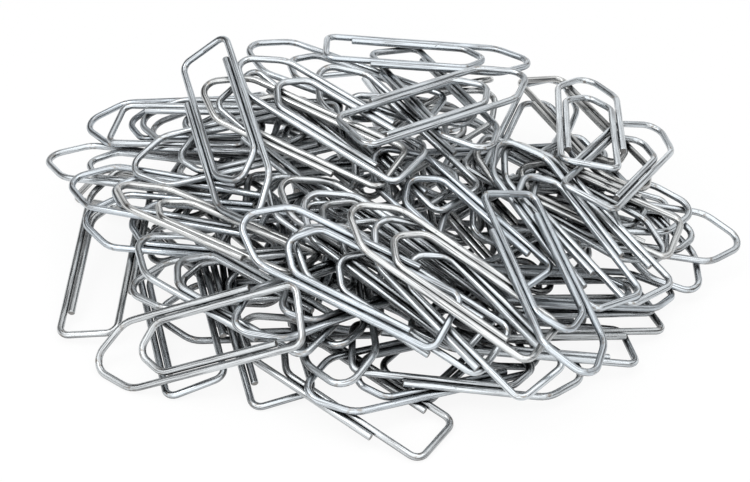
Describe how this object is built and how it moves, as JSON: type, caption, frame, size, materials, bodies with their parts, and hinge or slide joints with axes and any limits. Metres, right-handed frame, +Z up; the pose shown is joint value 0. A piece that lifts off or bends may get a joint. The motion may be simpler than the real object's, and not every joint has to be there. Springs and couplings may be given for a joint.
{
  "type": "heap of paper clips",
  "caption": "Loose heap of pointed zinc wire paper clips, each a bent wire with a frame and a springy tongue that grips sheets of paper.",
  "frame": {"origin": "middle of the heap's footprint, on the surface it lies on", "axes": "+Z up, +X along the heap's length to the right of the picture, +Y from the picture's viewer to the back"},
  "size_m": [0.0978, 0.0798, 0.0264],
  "materials": {
    "zinc_wire": "bright zinc over drawn wire, satin with fine lengthwise lines"
  },
  "bodies": {
    "heap": {"centre_slope_clip": "zinc_wire", "centre_under_clips": "zinc_wire", "crest_back_clip": "zinc_wire", "crest_back_cross_clip": "zinc_wire", "crest_diagonal_clip": "zinc_wire", "crest_inner_clip": "zinc_wire", "crest_left_lower_clip": "zinc_wire", "crest_left_upper_clip": "zinc_wire", "crest_under_clip": "zinc_wire", "floor_core_clips_1": "zinc_wire", "floor_core_clips_2": "zinc_wire", "front_cross_clip": "zinc_wire", "front_floor_clip": "zinc_wire", "front_left_floor_clip": "zinc_wire", "front_slope_left_clip": "zinc_wire", "front_slope_lower_clip": "zinc_wire", "front_slope_right_clip": "zinc_wire", "front_slope_upper_clip": "zinc_wire", "front_under_clips": "zinc_wire", "left_back_clip": "zinc_wire", "left_cross_clip": "zinc_wire", "left_floor_clip": "zinc_wire", "left_leaning_clip": "zinc_wire", "left_outlying_clip": "zinc_wire", "left_rim_clip": "zinc_wire", "left_shoulder_clip": "zinc_wire", "left_slope_lower_clip": "zinc_wire", "left_slope_upper_clip": "zinc_wire", "middle_core_clips_1": "zinc_wire", "middle_core_clips_2": "zinc_wire", "right_back_clip": "zinc_wire", "right_cross_clip": "zinc_wire", "right_edge_clip": "zinc_wire", "right_front_clip": "zinc_wire", "right_inner_clip": "zinc_wire", "right_low_clip": "zinc_wire", "right_outlying_clip": "zinc_wire", "right_perched_lower_clip": "zinc_wire", "right_rising_clip": "zinc_wire", "right_slope_lower_clip": "zinc_wire", "right_slope_upper_clip": "zinc_wire", "side_under_clips": "zinc_wire", "upper_core_clips_1": "zinc_wire", "upper_core_clips_2": "zinc_wire"},
    "left front clip frame": {"left_front_clip_frame": "zinc_wire"},
    "left front clip tongue": {"left_front_clip_tongue": "zinc_wire"},
    "right sliding clip frame": {"right_sliding_clip_frame": "zinc_wire"},
    "right sliding clip tongue": {"right_sliding_clip_tongue": "zinc_wire"},
    "left draped clip frame": {"left_draped_clip_frame": "zinc_wire"},
    "left draped clip tongue": {"left_draped_clip_tongue": "zinc_wire"},
    "crest bridge clip frame": {"crest_bridge_clip_frame": "zinc_wire"},
    "crest bridge clip tongue": {"crest_bridge_clip_tongue": "zinc_wire"},
    "right perched upper clip frame": {"right_perched_upper_clip_frame": "zinc_wire"},
    "right perched upper clip tongue": {"right_perched_upper_clip_tongue": "zinc_wire"}
  },
  "joints": [
    {"name": "left_front_clip_lift", "type": "slide", "parent": "heap", "child": "left front clip frame", "axis": [0, 0, 1], "range_m": [0, 0.06]},
    {"name": "left_front_clip_tongue_flex", "type": "hinge", "parent": "left front clip frame", "child": "left front clip tongue", "pos_m": [-0.01065, -0.02748, 0.01302], "axis": [-0.1396, 0.8149, 0.5625], "range_deg": [0, 10], "stiffness_Nm_per_rad": 0.004},
    {"name": "right_sliding_clip_lift", "type": "slide", "parent": "heap", "child": "right sliding clip frame", "axis": [0, 0, 1], "range_m": [0, 0.06]},
    {"name": "right_sliding_clip_tongue_flex", "type": "hinge", "parent": "right sliding clip frame", "child": "right sliding clip tongue", "pos_m": [0.01572, -0.0073, 0.0165], "axis": [-0.8935, -0.359, 0.2699], "range_deg": [0, 10], "stiffness_Nm_per_rad": 0.004},
    {"name": "left_draped_clip_lift", "type": "slide", "parent": "heap", "child": "left draped clip frame", "axis": [0, 0, 1], "range_m": [0, 0.06]},
    {"name": "left_draped_clip_tongue_flex", "type": "hinge", "parent": "left draped clip frame", "child": "left draped clip tongue", "pos_m": [-0.02539, 0.01659, 0.02395], "axis": [-0.7967, -0.0471, -0.6025], "range_deg": [0, 10], "stiffness_Nm_per_rad": 0.004},
    {"name": "crest_bridge_clip_lift", "type": "slide", "parent": "heap", "child": "crest bridge clip frame", "axis": [0, 0, 1], "range_m": [0, 0.06]},
    {"name": "crest_bridge_clip_tongue_flex", "type": "hinge", "parent": "crest bridge clip frame", "child": "crest bridge clip tongue", "pos_m": [-0.00465, -0.0001, 0.02142], "axis": [0.5575, -0.8288, -0.0489], "range_deg": [0, 10], "stiffness_Nm_per_rad": 0.004},
    {"name": "right_perched_upper_clip_lift", "type": "slide", "parent": "heap", "child": "right perched upper clip frame", "axis": [0, 0, 1], "range_m": [0, 0.06]},
    {"name": "right_perched_upper_clip_tongue_flex", "type": "hinge", "parent": "right perched upper clip frame", "child": "right perched upper clip tongue", "pos_m": [0.02744, 0.00075, 0.01553], "axis": [0.9835, -0.099, -0.1512], "range_deg": [0, 10], "stiffness_Nm_per_rad": 0.004}
  ]
}
